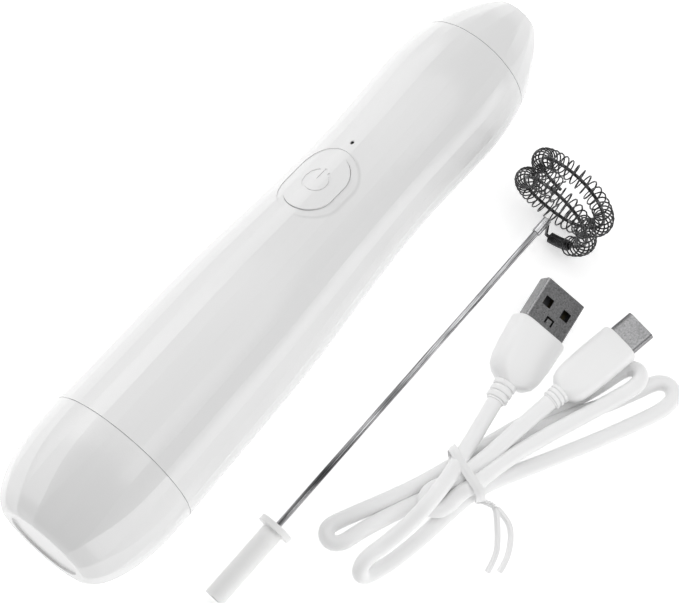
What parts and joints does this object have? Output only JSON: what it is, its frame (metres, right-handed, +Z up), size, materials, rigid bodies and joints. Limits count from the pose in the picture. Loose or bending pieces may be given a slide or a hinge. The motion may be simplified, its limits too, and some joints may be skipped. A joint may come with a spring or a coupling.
{
  "type": "milk frother",
  "caption": "Cordless handheld milk frother: faceted waisted handle, lift-out spring-ring whisk and coiled charging lead lying beside it.",
  "frame": {"origin": "on the table, under the middle of the box round the handle and the whisk, the charging lead left out", "axes": "+X along the handle from its flat base end towards the drive end, +Z up, the whisk and the lead lie on the -Y side"},
  "size_m": [0.1754, 0.11, 0.0404],
  "materials": {
    "white_shell": "satin gloss",
    "white_button": "satin gloss",
    "white_plastic": "satin",
    "grey_plastic": "matt",
    "dark_plastic": "matt",
    "clear_plastic": "clear",
    "board_green": "lacquered",
    "cell_can": "sleeved",
    "nickel": "plated",
    "steel": "plain",
    "bright_steel": "polished",
    "spring_steel": "polished",
    "brass": "plain",
    "magnet": "matt",
    "copper_lead": "insulated",
    "seal_rubber": "matt",
    "cord_white": "soft satin"
  },
  "bodies": {
    "handle": {"base_cap": "white_shell", "main_shell": "white_shell", "nose_cap": "white_shell", "switch_base": "dark_plastic", "circuit_board": "board_green", "board_chips": "dark_plastic", "status_led": "clear_plastic", "light_pipe": "clear_plastic", "battery_cell": "cell_can", "battery_tabs": "nickel", "inner_frame": "grey_plastic", "frame_screws": "steel", "port_board": "board_green", "port_shell": "steel", "port_tongue": "dark_plastic", "motor_can": "steel", "motor_end_bell": "grey_plastic", "motor_bushes": "brass", "motor_magnets": "magnet", "motor_mount": "grey_plastic", "motor_screws": "steel", "motor_leads": "copper_lead", "shaft_seal": "seal_rubber"},
    "button": {"power_button": "white_button", "switch_plunger": "dark_plastic"},
    "drive": {"motor_shaft": "steel", "rotor_core": "steel", "commutator": "brass", "drive_coupler": "white_plastic"},
    "whisk": {"whisk_adapter": "white_plastic", "whisk_shaft": "bright_steel", "whisk_sleeve": "bright_steel", "ring_wire": "bright_steel", "ring_spring": "spring_steel"},
    "cable": {"cable_hank": "cord_white", "twist_tie": "cord_white", "usb_a_shell": "nickel", "usb_a_tongue": "dark_plastic", "usb_a_pins": "brass", "usb_a_body": "cord_white", "usb_c_shell": "nickel", "usb_c_core": "dark_plastic", "usb_c_body": "cord_white"}
  },
  "joints": [
    {"name": "button_press", "type": "slide", "parent": "handle", "child": "button", "axis": [-0.0264, -0.3173, -0.948], "range_m": [0, 0.00035], "stiffness_N_per_m": 1500, "springref_m": -0.0003},
    {"name": "drive_spin", "type": "hinge", "parent": "handle", "child": "drive", "pos_m": [0.07624, 0.01594, 0.01649], "axis": [0.9996, 0, -0.0279], "continuous": true},
    {"name": "whisk_lift", "type": "slide", "parent": "handle", "child": "whisk", "axis": [0, 0, 1], "range_m": [0, 0.06]},
    {"name": "cable_lift", "type": "slide", "parent": "handle", "child": "cable", "axis": [0, 0, 1], "range_m": [0, 0.06]}
  ]
}
